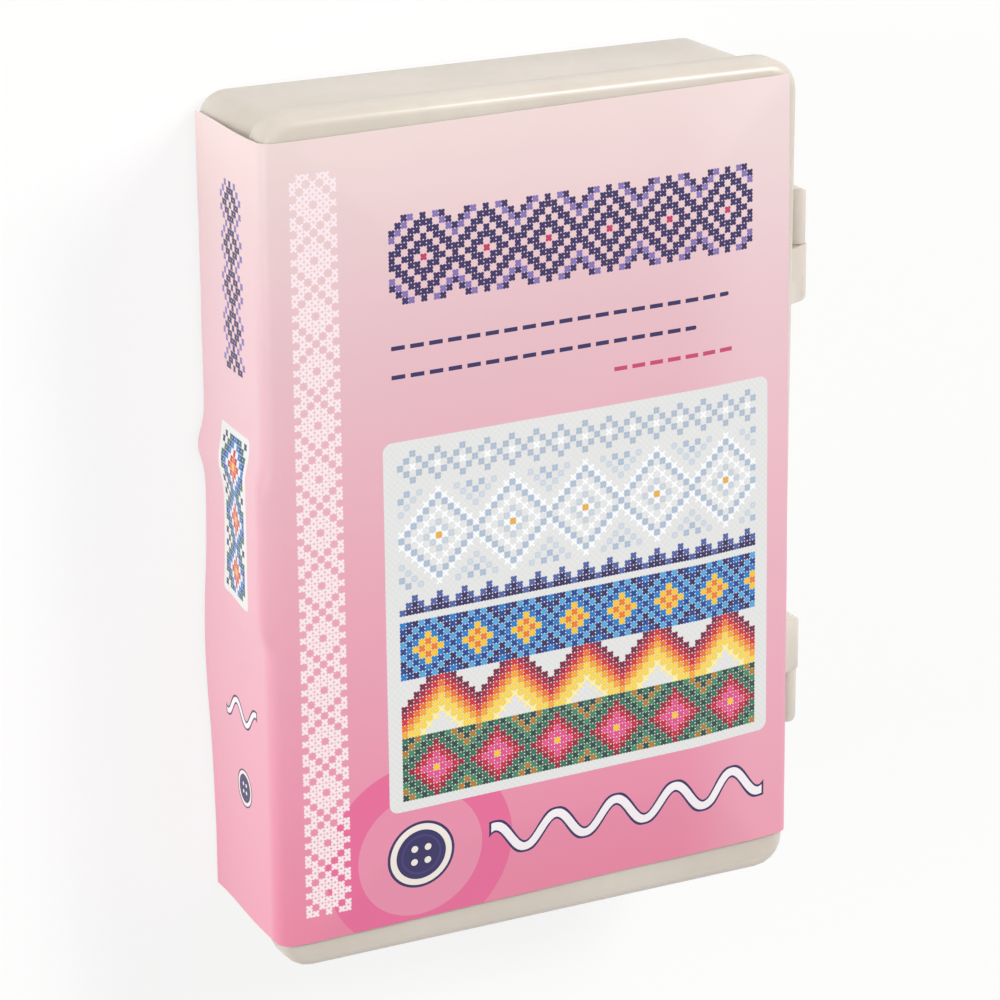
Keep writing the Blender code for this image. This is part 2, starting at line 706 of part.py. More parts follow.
def bobbin_outline():
    """Card bobbin: two side strips with rounded lobes, a waist between them, and a hole in each strip."""
    lobe_x = BOBBIN_WIDTH / 2 - BOBBIN_LOBE_RADIUS
    lobe_y = BOBBIN_HEIGHT / 2 - BOBBIN_LOBE_RADIUS
    waist_x = lobe_x - BOBBIN_LOBE_RADIUS - BOBBIN_WAIST_RADIUS
    quarter = arc((lobe_x, lobe_y), BOBBIN_LOBE_RADIUS, 0, 180, 6)
    quarter += arc((waist_x, lobe_y), BOBBIN_WAIST_RADIUS, 0, -90, 2)[1:]
    upper = quarter + [(-x, y) for x, y in reversed(quarter)]
    outline = upper + [(-x, -y) for x, y in upper]
    hole_x = BOBBIN_WIDTH / 2 - BOBBIN_HOLE_INSET
    holes = [arc((side * hole_x, 0), BOBBIN_HOLE_RADIUS, 0, 315, 7) for side in (-1, 1)]
    return [outline] + holes


def build_bobbins(parts, material):
    """Flat piles of bobbins in the front compartments, each lying on the one below."""
    first = extruded_outline("bobbin", bobbin_outline(), BOBBIN_THICKNESS, parts)
    mesh = first.data
    mesh.materials.append(material)
    bpy.data.objects.remove(first, do_unlink=True)
    loose = Random(11)
    number = 0
    for column, count in PILES:
        middle_x = column_low_x(column) + COLUMN_LENGTH / 2
        middle_y = -DIVIDER_THICKNESS / 2 - HALF_ROOM_WIDTH / 2
        for layer in range(count):
            number += 1
            item = new_object(f"bobbin_{number:02d}", mesh, parts)
            height = TRAY_WALL + BOBBIN_GAP + layer * (BOBBIN_THICKNESS + BOBBIN_GAP) + BOBBIN_THICKNESS / 2
            item.location = (middle_x + loose.uniform(-PILE_DRIFT, PILE_DRIFT),
                             middle_y + loose.uniform(-PILE_DRIFT, PILE_DRIFT), height)
            item.rotation_euler = (0, 0, radians(loose.uniform(-PILE_TWIST, PILE_TWIST)))


def main():
    """Build every part."""
    clear_scene()
    parts, cutters = make_collections()
    frosted = make_material(FROSTED)
    paper = make_material(PAPER)
    card = make_material(CARD)
    build_tray(parts, cutters, frosted)
    lid = build_lid(parts, cutters, frosted)
    label = build_label(parts, paper)
    hinge = bpy.data.objects.new("hinge_axis", None)
    parts.objects.link(hinge)
    hinge.location = (0, AXIS_Y, AXIS_Z)
    for moving in (lid, label):
        moving.parent = hinge
        moving.location = (0, 0, 0)
    build_bobbins(parts, card)


main()
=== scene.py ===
"""Looks of the embroidery thread box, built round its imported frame.

Lengths are in metres. X runs along the box, -Y is the latch side, +Y the hinge side and Z is up.
The photograph looks down on the lid with -X at the top of the picture.
"""

from math import pi, radians, tan

import bmesh
import bpy
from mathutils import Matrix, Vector


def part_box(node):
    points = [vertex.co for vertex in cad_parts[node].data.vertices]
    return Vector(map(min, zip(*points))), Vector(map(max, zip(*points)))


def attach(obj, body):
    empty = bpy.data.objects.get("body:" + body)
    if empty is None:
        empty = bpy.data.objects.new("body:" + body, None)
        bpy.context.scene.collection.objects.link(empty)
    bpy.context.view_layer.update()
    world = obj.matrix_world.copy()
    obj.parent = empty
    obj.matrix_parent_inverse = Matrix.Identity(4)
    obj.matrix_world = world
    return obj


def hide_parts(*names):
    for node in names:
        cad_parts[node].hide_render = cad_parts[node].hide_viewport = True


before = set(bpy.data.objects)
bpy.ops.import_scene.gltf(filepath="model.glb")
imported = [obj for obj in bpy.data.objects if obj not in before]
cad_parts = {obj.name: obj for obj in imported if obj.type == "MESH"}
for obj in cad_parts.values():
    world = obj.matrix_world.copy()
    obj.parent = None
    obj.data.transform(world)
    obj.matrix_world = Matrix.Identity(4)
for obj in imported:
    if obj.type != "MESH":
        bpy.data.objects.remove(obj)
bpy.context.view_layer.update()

MM = 0.001

# Camera, fitted to the outline of the box in the photograph
CAMERA_PLACE = (-0.24966, -0.33640, 0.68403)
CAMERA_TURN = (-18.4828, -26.9428, 89.6384)
CAMERA_LENS = 134.8
CAMERA_SENSOR = 36.0
CAMERA_NEAR = 10.0 * MM

# Studio
FLOOR_SIZE = 6.0
FLOOR_DROP = 0.1 * MM
FLOOR_WHITE_SHARE = 0.80
FLOOR_COLOUR = "#F4F3F1"
FLOOR_ROUGHNESS = 0.9
SKY_LEVEL = 0.45

# Lamps: name, place, size, power and colour
LAMPS = (
    ("key_softbox", (-1.08, 1.12, 1.38), (0.90, 0.50), 30.0, "#FFFFFF"),
    ("side_softbox", (-0.15, -1.10, 0.32), (0.80, 0.50), 7.0, "#FFFFFF"),
    ("strip_softbox", (-1.05, 0.55, 0.48), (0.70, 0.05), 0.35, "#FFFFFF"),
    ("warm_reflector", (1.00, 0.15, 0.35), (0.60, 0.30), 0.15, "#FFC090"),
)

# Lid and tray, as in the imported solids
LID_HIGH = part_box("lid")[1]
HALF_LENGTH = LID_HIGH.x
HALF_WIDTH = 60.0 * MM
TRAY_INSET = 1.7 * MM
LID_EDGE_RADIUS = 2.6 * MM
LID_RIM_BAND = 3.4 * MM
LID_HIP_RUN = 20.5 * MM
CROWN_RISE = 1.8 * MM
RIM_Z = LID_HIGH.z - CROWN_RISE
SKIRT_Z = RIM_Z - 7.6 * MM
MOULDED_EDGE = 0.20 * MM
MOULDED_EDGE_STEPS = 2
MERGE_DISTANCE = 0.002 * MM
FLAT_ANGLE = radians(0.5)
SMOOTH_ANGLE = radians(32)

# Hinges: ends and middle of each along X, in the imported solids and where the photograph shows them
HINGE_PACKED = (34.85 * MM, 48.4 * MM, 60.75 * MM)
HINGE_SEEN = {-1: (36.75 * MM, 48.9 * MM, 61.05 * MM), 1: (34.45 * MM, 46.6 * MM, 58.75 * MM)}
HINGE_CLEAR = 1.0 * MM
HINGE_BAND_Z = (22.0 * MM, 36.2 * MM)
WALL_SLACK = 0.08 * MM

# Thumb tab under the label
TAB_HALF_WIDTH = 14.0 * MM
TAB_PROUD = 1.2 * MM
TAB_LOW_Z = SKIRT_Z - 2.5 * MM
TAB_RAMP = 2.9 * MM
TAB_REACH = 7.5 * MM
TAB_FADE = 15.0 * MM

# Label
PAPER_THICKNESS = 0.25 * MM
PAPER_GAP = 0.30 * MM
FOLD_RADIUS = LID_EDGE_RADIUS + PAPER_GAP + PAPER_THICKNESS
LABEL_SLOPE = tan(radians(0.95))
LABEL_LOW_MARGIN = 4.9 * MM
LABEL_HIGH_MARGIN = 6.1 * MM
LABEL_HINGE_MARGIN = 1.6 * MM
LABEL_FOOT = 0.9 * MM
LABEL_FOOT_FALL = 0.5 * MM
LABEL_LENGTH = 2 * HALF_LENGTH - LABEL_LOW_MARGIN - LABEL_HIGH_MARGIN
FLAP_DEPTH = RIM_Z - LID_EDGE_RADIUS - LABEL_FOOT
FRONT_WIDTH = 2 * HALF_WIDTH - LID_EDGE_RADIUS - LABEL_HINGE_MARGIN
PAPER_STEP = 1.5 * MM
FOLD_STEPS = 8
LEAN_ENDS = (-0.95, 0.94)
PAPER_SHARP_ANGLE = radians(60)
LOOSE_PLACES = ((-14.5 * MM, 3.6 * MM, 1.5 * MM), (30.0 * MM, 17.0 * MM, 1.3 * MM))
PAPER_RIPPLE = 0.15 * MM
RIPPLE_PER_METRE = 45.0
RIPPLE_SEED = 4.0
RIPPLE_RANGE = (0.35, 0.65)

# Surfaces: noise spots per metre, the range of noise that is used, and what it turns into
NOISE_RANGE = (0.3, 0.7)
DRIFT_PER_METRE = 25.0
DRIFT_TONES = ("#E1D6C9", "#E7DDD1")
FLOW_PER_METRE = 260.0
FLOW_STRETCH = 0.18
FLOW_RANGE = (0.35, 0.75)
FLOW_SHADES = (0.985, 1.01)
GRAIN_PER_METRE = 2500.0
GRAIN_STRENGTH = 0.006
GRAIN_HEIGHT = 0.2 * MM
PLASTIC_ROUGHNESS = (0.31, 0.35)
PLASTIC_OPACITY = (0.72, 0.78)
PLASTIC_COAT = 0.20
PLASTIC_COAT_ROUGHNESS = 0.16
PLASTIC_IOR = 1.49
PLASTIC_GLOW = 0.15
PLASTIC_GLOW_DEPTH = 3.0 * MM
PLASTIC_GLOW_TINT = (1.0, 0.85, 0.7)
CARD_FIBRES_PER_METRE = 1500.0
CARD_MOTTLES_PER_METRE = 160.0
CARD_FIBRE_SHARE = 0.5
CARD_STOPS = ((0.55, "#D9D3C6"), (0.90, "#F1ECE1"))
CARD_FIBRE_STRENGTH = 0.25
CARD_ROUGHNESS = 0.82
BACK_FIBRES_PER_METRE = 1100.0
BACK_STOPS = ((0.35, "#EAE2DE"), (0.65, "#F6F1EC"))
BACK_ROUGHNESS = 0.75
FRONT_FIBRES_PER_METRE = 1800.0
FRONT_FIBRE_STRENGTH = 0.06
FRONT_ROUGHNESS = (0.36, 0.46)
FRONT_IOR = 1.50
FIBRE_HEIGHT = 0.1 * MM

# Print: places and sizes on the flat sheet, X from the -X end and Y from the fold, negative on the flap
NAVY = "#2A2056"
PALE = "#F3DFE3"
CREAM = "#EFE7DE"
CORD_WHITE = "#F4EEF0"
STITCH = 1.4 * MM
THREAD_SHARE = 0.36
THREAD_REACH_SHARE = 0.88
THREAD_LIT = 1.12
THREAD_SHADED = 0.84
CHART_CORNER = 0.1 * MM
ALL_ROWS = (0, 120)

WASH_STOPS = ((0.0, "#E7D1CF"), (0.10, "#E4C8C9"), (0.25, "#E2BAC2"), (0.50, "#E4A7B6"), (0.80, "#E492AB"),
              (1.0, "#E4839F"))
# Painted sheen: the flap and the hinge side of the wash are whitened, standing in for the light they catch
WASH_FLAP_Y = (-3.0 * MM, -5.5 * MM)
WASH_FLAP_X = (15.0 * MM, 50.0 * MM)
WASH_HINGE_Y = (88.0 * MM, 112.0 * MM)
WASH_SHEEN_SHARE = 0.15
WASH_SHEEN_WHITE = "#FDF6F4"

HEADING_CENTRE = (26.2 * MM, 67.0 * MM)
HEADING_STITCHES = (13, 60)
HEADING_REPEAT = (13, 10)
HEADING_INKS = {0: "#B92F5E", 2: NAVY, 3: NAVY, 5: NAVY, 6: NAVY, 8: "#7D6CAB", 9: NAVY}
RUNNING_WIDTH = 0.9 * MM
RUNNING_STEP = 4.2 * MM
RUNNING_SHARE = 0.72
RUNNING_LINES = ((44.0 * MM, 64.0 * MM, 78.0 * MM, NAVY), (50.0 * MM, 60.0 * MM, 70.0 * MM, NAVY),
                 (56.0 * MM, 90.0 * MM, 30.0 * MM, "#C2426F"))

LINEN_CENTRE = (103.5 * MM, 68.0 * MM)
LINEN_SIZE = (80.0 * MM, 90.0 * MM)
LINEN_CORNER = 2.0 * MM
LINEN_CHECKS_PER_METRE = 1400.0
LINEN_INKS = ("#E4E4E2", "#DFE0DF")
SAMPLER_STITCHES = (54, 60)
# Each band: its rows, its repeat in stitches, and the ink of each ring of its diamonds
SAMPLER_BANDS = (
    ((0, 5), (5, 4), {0: "#F2F4F6", 2: "#A9B7C9"}),
    ((6, 21), (15, 12), {0: "#E3A93A", 1: "#F2F4F6", 2: "#C3CDD8", 4: "#F2F4F6", 6: "#A9B9CE", 7: "#F2F4F6",
                         10: "#C9D2DC", 12: "#A9B9CE"}),
    ((22, 25), (6, 4), {1: NAVY, 2: NAVY, 3: "#4C5C9C"}),
    ((26, 35), (9, 8), {0: "#F0C02C", 1: "#E4781E", 2: "#F0C02C", 3: "#1E78BE", 4: "#173F88", 5: "#4FA0D4",
                        6: NAVY, 7: "#173F88", 8: "#1E78BE"}),
    ((35, 44), (18, 12), {6: "#F4D24C", 7: "#EFA428", 8: "#E4701F", 9: "#CB2B31", 10: "#9C1C3C",
                          11: "#6E1838", 5: "#F4D24C", 4: "#FAE9A0"}),
    ((44, 54), (10, 10), {0: "#F0C02C", 1: "#D94E86", 2: "#D94E86", 3: "#C0203A", 4: "#8E1830", 5: "#2A6A50",
                          6: "#1D3F38", 7: "#3C7F5C", 8: "#A87626", 9: "#1D3F38", 10: "#2A6A50"}),
)

CHAIN_CENTRE = (84.9 * MM, 9.5 * MM)
CHAIN_STITCHES = (112, 7)
CHAIN_REPEAT = (8, 7)
CHAIN_INKS = {1: PALE, 2: PALE, 3: PALE, 5: PALE, 6: PALE}

BUTTON_PLACE = (154.0 * MM, 30.0 * MM)
BUTTON_RADIUS = 7.6 * MM
BUTTON_RINGS = ((1.0, NAVY), (0.92, CREAM), (0.74, NAVY), (0.60, "#3B3470"), (0.54, NAVY))
BUTTON_HOLE_PLACE_SHARE = 0.20
BUTTON_HOLE_SHARE = 0.10
ROSE_RINGS = ((21.0 * MM, "#E26A96"), (14.0 * MM, "#E48DA8"))
CORD_CENTRE = (154.5 * MM, 79.0 * MM)
CORD_SIZE = (6.2 * MM, 64.0 * MM)
CORD_WAVES = 4.5
CORD_INKS = ((1.40 * MM, NAVY), (0.90 * MM, CORD_WHITE))
CORD_ROOM = 20.0 * MM

FLAP_BAND_CENTRE = (30.0 * MM, -17.0 * MM)
FLAP_BAND_STITCHES = (28, 9)
FLAP_BAND_REPEAT = (6, 9)
FLAP_BAND_INKS = {0: NAVY, 2: NAVY, 3: NAVY, 5: "#7D6CAB"}
CARD_CENTRE = (80.0 * MM, -18.0 * MM)
CARD_SIZE = (36.4 * MM, 16.8 * MM)
CARD_CORNER = 1.0 * MM
CARD_COLOUR = "#E6E6E4"
CARD_STITCHES = (24, 10)
CARD_REPEAT = (8, 10)
CARD_INKS = {0: "#F0C02C", 1: "#E4701F", 2: "#C0203A", 4: "#1E78BE", 5: "#173F88", 6: "#2A6A50", 8: NAVY}
FLAP_CORD_CENTRE = (123.0 * MM, -18.0 * MM)
FLAP_CORD_SIZE = (4.0 * MM, 15.0 * MM)
FLAP_CORD_WAVES = 1.5
FLAP_CORD_INKS = ((0.95 * MM, NAVY), (0.55 * MM, CORD_WHITE))
FLAP_BUTTON_PLACE = (140.0 * MM, -18.0 * MM)
FLAP_BUTTON_RADIUS = 4.2 * MM


def linear(code):
    """An sRGB hex colour as the linear values that a shader reads."""
    parts = [int(code[place:place + 2], 16) / 255 for place in (1, 3, 5)]
    return tuple(p / 12.92 if p <= 0.04045 else ((p + 0.055) / 1.055) ** 2.4 for p in parts) + (1.0,)


def add(tree, kind, inputs=None, out=0, **settings):
    """Add one node with its settings, fill or link its inputs, and give back the output that is asked for."""
    made = tree.nodes.new(kind)
    for name, value in settings.items():
        setattr(made, name, value)
    for socket, value in (inputs or {}).items():
        if isinstance(value, bpy.types.NodeSocket):
            tree.links.new(value, made.inputs[socket])
        else:
            made.inputs[socket].default_value = value
    return made.outputs[out] if len(made.outputs) else made


def fill_ramp(socket, stops, interpolation="LINEAR"):
    """Give a colour ramp its stops, each a place from 0 to 1 and a colour."""
    ramp = socket.node.color_ramp
    ramp.interpolation = interpolation
    while len(ramp.elements) > 1:
        ramp.elements.remove(ramp.elements[-1])
    for index, (place, colour) in enumerate(stops):
        element = ramp.elements[0] if index == 0 else ramp.elements.new(place)
        element.position = place
        element.color = colour
    return socket


def new_material(name):
    """A material with its tree and its Principled shader."""
    material = bpy.data.materials.new(name)
    material.use_nodes = True
    return material, material.node_tree, material.node_tree.nodes["Principled BSDF"]


# Materials of the box

def frosted_polypropylene():
    """Natural polypropylene from a lightly blasted tool: milky and waxy, with soft highlights."""
    material, tree, shader = new_material("frosted_natural_polypropylene")
    low, high = NOISE_RANGE
    place = add(tree, "ShaderNodeTexCoord", out="Object")
    # Slow drift of tone, as the wall lets more or less light through, about 40 mm across
    drift = add(tree, "ShaderNodeTexNoise", {"Vector": place, "Scale": DRIFT_PER_METRE, "Detail": 2.0,
                                             "Roughness": 0.5})
    tone = fill_ramp(add(tree, "ShaderNodeValToRGB", {"Fac": drift}),
                     [(stop, linear(ink)) for stop, ink in zip(NOISE_RANGE, DRIFT_TONES)])
    # Flow lines of the melt, about 4 mm apart and stretched along the box
    stretched = add(tree, "ShaderNodeMapping", {"Vector": place, "Scale": (FLOW_STRETCH, 1.0, 1.0)})
    flow = add(tree, "ShaderNodeTexNoise", {"Vector": stretched, "Scale": FLOW_PER_METRE, "Detail": 1.0,
                                            "Roughness": 0.4})
    lines = add(tree, "ShaderNodeMapRange", {"Value": flow, "From Min": FLOW_RANGE[0],
                                             "From Max": FLOW_RANGE[1], "To Min": FLOW_SHADES[0],
                                             "To Max": FLOW_SHADES[1]})
    colour = add(tree, "ShaderNodeVectorMath", {0: tone, "Scale": lines}, operation="SCALE")
    tree.links.new(colour, shader.inputs["Base Color"])
    # Blasted tool texture: the real grain is near 0.1 mm, drawn at 0.4 mm so that it shows
    grain = add(tree, "ShaderNodeTexNoise", {"Vector": place, "Scale": GRAIN_PER_METRE, "Detail": 2.0,
                                             "Roughness": 0.6})
    gloss = add(tree, "ShaderNodeMapRange", {"Value": grain, "From Min": low, "From Max": high,
                                             "To Min": PLASTIC_ROUGHNESS[0], "To Max": PLASTIC_ROUGHNESS[1]})
    tree.links.new(gloss, shader.inputs["Roughness"])
    bump = add(tree, "ShaderNodeBump", {"Height": grain, "Strength": GRAIN_STRENGTH,
                                        "Distance": GRAIN_HEIGHT})
    tree.links.new(bump, shader.inputs["Normal"])
    # Milky wall: some of the light goes straight through, less where the melt is cloudier
    cloudy = add(tree, "ShaderNodeMapRange", {"Value": drift, "From Min": low, "From Max": high,
                                              "To Min": PLASTIC_OPACITY[0], "To Max": PLASTIC_OPACITY[1]})
    tree.links.new(cloudy, shader.inputs["Alpha"])
    shader.inputs["IOR"].default_value = PLASTIC_IOR
    shader.inputs["Coat Weight"].default_value = PLASTIC_COAT
    shader.inputs["Coat Roughness"].default_value = PLASTIC_COAT_ROUGHNESS
    shader.inputs["Subsurface Weight"].default_value = PLASTIC_GLOW
    shader.inputs["Subsurface Radius"].default_value = PLASTIC_GLOW_TINT
    shader.inputs["Subsurface Scale"].default_value = PLASTIC_GLOW_DEPTH
    return material


def bobbin_card():
    """Uncoated die-cut card: chalky white face with short fibres and faint grey mottling."""
    material, tree, shader = new_material("uncoated_bobbin_card")
    place = add(tree, "ShaderNodeTexCoord", out="Object")
    fibres = add(tree, "ShaderNodeTexNoise", {"Vector": place, "Scale": CARD_FIBRES_PER_METRE, "Detail": 3.0,
                                              "Roughness": 0.7})
    mottle = add(tree, "ShaderNodeTexNoise", {"Vector": place, "Scale": CARD_MOTTLES_PER_METRE, "Detail": 2.0,
                                              "Roughness": 0.5})
    mixed = add(tree, "ShaderNodeMath", {0: fibres, 1: CARD_FIBRE_SHARE, 2: mottle}, operation="MULTIPLY_ADD")
    colour = fill_ramp(add(tree, "ShaderNodeValToRGB", {"Fac": mixed}),
                       [(stop, linear(ink)) for stop, ink in CARD_STOPS])
    tree.links.new(colour, shader.inputs["Base Color"])
    bump = add(tree, "ShaderNodeBump", {"Height": fibres, "Strength": CARD_FIBRE_STRENGTH,
                                        "Distance": FIBRE_HEIGHT})
    tree.links.new(bump, shader.inputs["Normal"])
    shader.inputs["Roughness"].default_value = CARD_ROUGHNESS
    return material


def bare_paper():
    """Back and cut edge of the label paper: unprinted, matt and slightly warm."""
    material, tree, shader = new_material("unprinted_label_paper")
    place = add(tree, "ShaderNodeTexCoord", out="Object")
    fibres = add(tree, "ShaderNodeTexNoise", {"Vector": place, "Scale": BACK_FIBRES_PER_METRE, "Detail": 3.0,
                                              "Roughness": 0.65})
    colour = fill_ramp(add(tree, "ShaderNodeValToRGB", {"Fac": fibres}),
                       [(stop, linear(ink)) for stop, ink in BACK_STOPS])
    tree.links.new(colour, shader.inputs["Base Color"])
    shader.inputs["Roughness"].default_value = BACK_ROUGHNESS
    return material


# Print of the label, laid colour over colour on the flat sheet

def panel_mask(tree, place, centre, size, corner):
    """1 inside a rectangle with round corners."""
    offset = add(tree, "ShaderNodeVectorMath", {0: place, 1: (*centre, 0)}, operation="SUBTRACT")
    away = add(tree, "ShaderNodeVectorMath", {0: offset}, operation="ABSOLUTE")
    inner = (size[0] / 2 - corner, size[1] / 2 - corner, 1)
    beyond = add(tree, "ShaderNodeVectorMath", {0: away, 1: inner}, operation="SUBTRACT")
    outside = add(tree, "ShaderNodeVectorMath", {0: beyond, 1: (0, 0, 0)}, operation="MAXIMUM")
    distance = add(tree, "ShaderNodeVectorMath", {0: outside}, operation="LENGTH", out="Value")
    return add(tree, "ShaderNodeMath", {0: distance, 1: corner}, operation="LESS_THAN")


def inked_panel(tree, place, ground, centre, size, corner, ink):
    """What is printed so far, with a panel of another ink over it: a disc where its corners meet."""
    mask = panel_mask(tree, place, centre, size, corner)
    return add(tree, "ShaderNodeMix", {0: mask, 6: ground, 7: ink}, out=2, data_type="RGBA")


def stitch_chart(tree, place, centre, counts):
    """A chart of so many stitches round its centre: its cells, where threads lie and how lit they are."""
    size = [count * STITCH for count in counts]
    panel = panel_mask(tree, place, centre, size, CHART_CORNER)
    corner = (centre[0] - size[0] / 2, centre[1] - size[1] / 2, 0)
    offset = add(tree, "ShaderNodeVectorMath", {0: place, 1: corner}, operation="SUBTRACT")
    scaled = add(tree, "ShaderNodeVectorMath", {0: offset, "Scale": 1 / STITCH}, operation="SCALE")
    cell = add(tree, "ShaderNodeVectorMath", {0: scaled}, operation="FLOOR")
    share = add(tree, "ShaderNodeVectorMath", {0: scaled}, operation="FRACTION")
    centred = add(tree, "ShaderNodeVectorMath", {0: share, 1: (0.5, 0.5, 0)}, operation="SUBTRACT")
    ways = []
    for direction in ((1, 1, 0), (1, -1, 0)):
        along = add(tree, "ShaderNodeVectorMath", {0: centred, 1: direction}, operation="DOT_PRODUCT",
                    out="Value")
        ways.append(add(tree, "ShaderNodeMath", {0: along}, operation="ABSOLUTE"))
    near = add(tree, "ShaderNodeMath", {0: ways[0], 1: ways[1]}, operation="MINIMUM")
    far = add(tree, "ShaderNodeMath", {0: ways[0], 1: ways[1]}, operation="MAXIMUM")
    thread = add(tree, "ShaderNodeMath", {0: near, 1: THREAD_SHARE}, operation="LESS_THAN")
    ends = add(tree, "ShaderNodeMath", {0: far, 1: THREAD_REACH_SHARE}, operation="LESS_THAN")
    crossed = add(tree, "ShaderNodeMath", {0: thread, 1: ends}, operation="MULTIPLY")
    mask = add(tree, "ShaderNodeMath", {0: crossed, 1: panel}, operation="MULTIPLY")
    lit = add(tree, "ShaderNodeMapRange", {"Value": near, "From Max": THREAD_SHARE,
                                           "To Min": THREAD_LIT, "To Max": THREAD_SHADED})
    return cell, mask, lit


def stitched_band(tree, ground, chart, rows, repeat, inks):
    """A band of concentric diamonds in cross stitch: its rows, its repeat and the ink of each ring."""
    cell, thread, lit = chart
    height = rows[1] - rows[0]
    start = (rows[0], 0, 0)
    offset = add(tree, "ShaderNodeVectorMath", {0: cell, 1: start}, operation="SUBTRACT")
    row = add(tree, "ShaderNodeSeparateXYZ", {"Vector": offset}, out="X")
    inside = add(tree, "ShaderNodeMath", {0: row, 1: (height - 1) / 2, 2: height / 2}, operation="COMPARE")
    wrapped = add(tree, "ShaderNodeVectorMath", {0: offset, 1: (*repeat, 1)}, operation="MODULO")
    middle = (repeat[0] // 2, repeat[1] // 2, 0)
    apart = add(tree, "ShaderNodeVectorMath", {0: wrapped, 1: middle}, operation="SUBTRACT")
    folded = add(tree, "ShaderNodeVectorMath", {0: apart}, operation="ABSOLUTE")
    count = middle[0] + middle[1] + 1
    per_ring = (1 / count, 1 / count, 0)
    ring = add(tree, "ShaderNodeVectorMath", {0: folded, 1: per_ring}, operation="DOT_PRODUCT", out="Value")
    shifted = add(tree, "ShaderNodeMath", {0: ring, 1: 0.5 / count}, operation="ADD")
    stops = []
    for number in range(count):
        ink = linear(inks[number]) if number in inks else (0, 0, 0, 0)
        stops.append((number / count, ink))
    colour = fill_ramp(add(tree, "ShaderNodeValToRGB", {"Fac": shifted}), stops, "CONSTANT")
    drawn = add(tree, "ShaderNodeMath", {0: colour.node.outputs["Alpha"], 1: inside}, operation="MULTIPLY")
    mask = add(tree, "ShaderNodeMath", {0: drawn, 1: thread}, operation="MULTIPLY")
    rounded = add(tree, "ShaderNodeVectorMath", {0: colour, "Scale": lit}, operation="SCALE")
    return add(tree, "ShaderNodeMix", {0: mask, 6: ground, 7: rounded}, out=2, data_type="RGBA")


def running_stitches(tree, place, ground, centre, length, ink):
    """A straight line of running stitches across the sheet."""
    line = panel_mask(tree, place, centre, (RUNNING_WIDTH, length), RUNNING_WIDTH / 2)
    across = add(tree, "ShaderNodeSeparateXYZ", {"Vector": place}, out="Y")
    turns = add(tree, "ShaderNodeMath", {0: across, 1: RUNNING_STEP}, operation="DIVIDE")
    share = add(tree, "ShaderNodeMath", {0: turns}, operation="FRACT")
    on = add(tree, "ShaderNodeMath", {0: share, 1: RUNNING_SHARE}, operation="LESS_THAN")
    mask = add(tree, "ShaderNodeMath", {0: on, 1: line}, operation="MULTIPLY")
    return add(tree, "ShaderNodeMix", {0: mask, 6: ground, 7: linear(ink)}, out=2, data_type="RGBA")


def couched_wave(tree, place, ground, centre, size, waves, inks):
    """A wavy laid cord across the sheet, with its outline: the outline's ink comes first."""
    parts = add(tree, "ShaderNodeSeparateXYZ", {"Vector": place}).node.outputs
    turn = add(tree, "ShaderNodeMath", {0: parts["Y"], 1: centre[1]}, operation="SUBTRACT")
    turn = add(tree, "ShaderNodeMath", {0: turn, 1: 2 * pi * waves / size[1]}, operation="MULTIPLY")
    sway = add(tree, "ShaderNodeMath", {0: turn}, operation="SINE")
    middle = add(tree, "ShaderNodeMath", {0: sway, 1: size[0] / 2, 2: centre[0]}, operation="MULTIPLY_ADD")
    away = add(tree, "ShaderNodeMath", {0: parts["X"], 1: middle}, operation="SUBTRACT")
    # The slope of the wave thins a plain offset, so it is measured across the cord
    steep = add(tree, "ShaderNodeMath", {0: turn}, operation="COSINE")
    steep = add(tree, "ShaderNodeMath", {0: steep, 1: pi * waves * size[0] / size[1]}, operation="MULTIPLY")
    steep = add(tree, "ShaderNodeMath", {0: steep, 1: steep, 2: 1.0}, operation="MULTIPLY_ADD")
    steep = add(tree, "ShaderNodeMath", {0: steep}, operation="SQRT")
    away = add(tree, "ShaderNodeMath", {0: away, 1: steep}, operation="DIVIDE")
    for width, ink in inks:
        inside = panel_mask(tree, place, centre, (size[0] + CORD_ROOM, size[1] + 2 * width), width)
        near = add(tree, "ShaderNodeMath", {0: away, 1: 0.0, 2: width}, operation="COMPARE")
        mask = add(tree, "ShaderNodeMath", {0: near, 1: inside}, operation="MULTIPLY")
        ground = add(tree, "ShaderNodeMix", {0: mask, 6: ground, 7: linear(ink)}, out=2, data_type="RGBA")
    return ground


def four_hole_button(tree, place, ground, centre, radius):
    """A navy button with a cream rim and four holes."""
    for share, ink in BUTTON_RINGS:
        width = 2 * radius * share
        ground = inked_panel(tree, place, ground, centre, (width, width), width / 2, linear(ink))
    hole = BUTTON_HOLE_SHARE * radius
    away = BUTTON_HOLE_PLACE_SHARE * radius
    for x, y in ((-1, -1), (-1, 1), (1, -1), (1, 1)):
        spot = (centre[0] + away * x, centre[1] + away * y)
        ground = inked_panel(tree, place, ground, spot, (2 * hole, 2 * hole), hole, linear(CREAM))
    return ground


